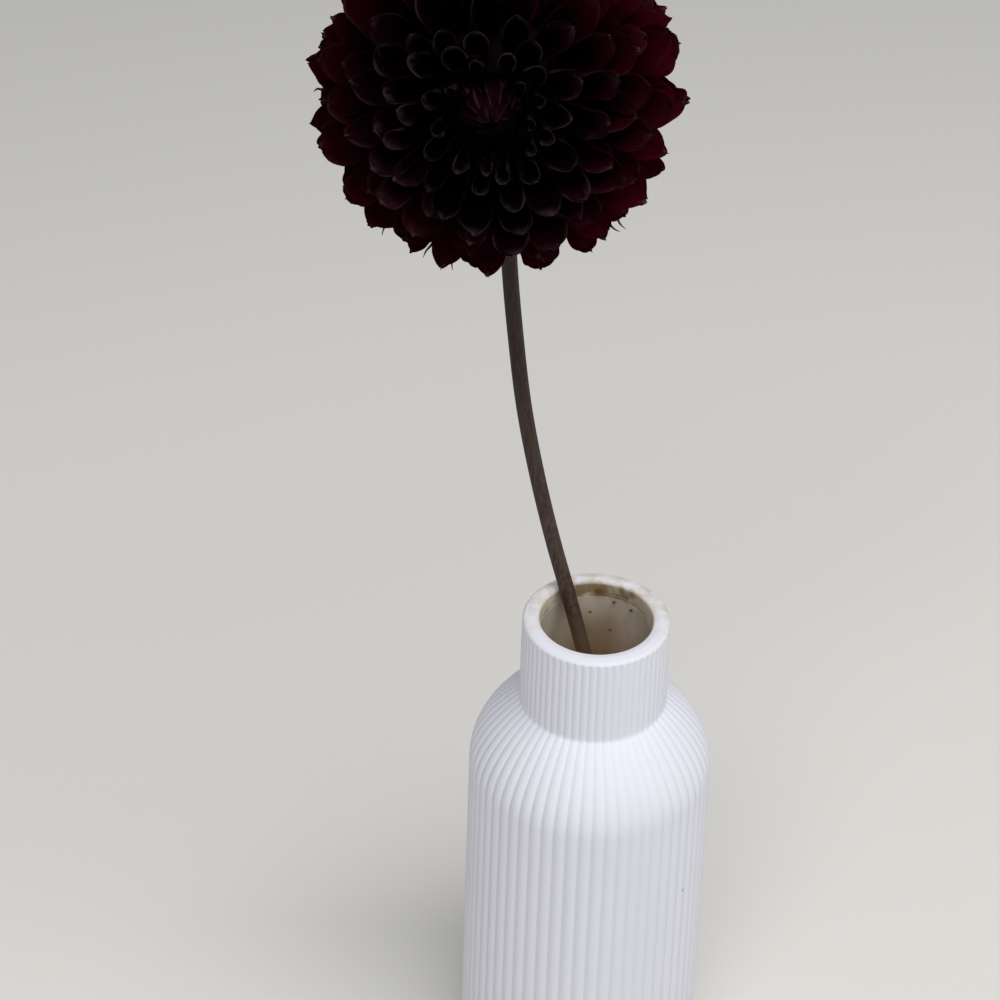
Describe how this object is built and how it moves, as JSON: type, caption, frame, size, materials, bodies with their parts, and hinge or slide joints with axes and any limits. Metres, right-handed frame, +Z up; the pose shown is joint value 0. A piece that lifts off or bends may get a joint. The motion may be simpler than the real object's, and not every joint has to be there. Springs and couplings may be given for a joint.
{
  "type": "ball dahlia in a ribbed vase",
  "caption": "Dark maroon ball dahlia on one bare stem, leaning in a ribbed white bottle vase filled with water.",
  "frame": {"origin": "centre of the flat face that the vase stands on", "axes": "+Z up along the vase's axis; the flower faces -Y and leans towards -X and +Y"},
  "size_m": [0.1236, 0.0906, 0.4268],
  "materials": {
    "bisque": "matt white bisque with a fine grain",
    "vase_water": "clear water, slightly cloudy and tan",
    "stem_skin": "dark purple-brown stem skin with fine lengthwise streaks",
    "bract_green": "dull olive-brown bracts",
    "petal_maroon": "near-black maroon velvet with pale mauve rims",
    "floret_purple": "dark magenta closed florets with pale streaks"
  },
  "bodies": {
    "root": {"vase": "bisque", "water": "vase_water", "stem": "stem_skin", "calyx": "bract_green", "bloom": "petal_maroon", "closed_florets": "floret_purple"}
  },
  "joints": []
}
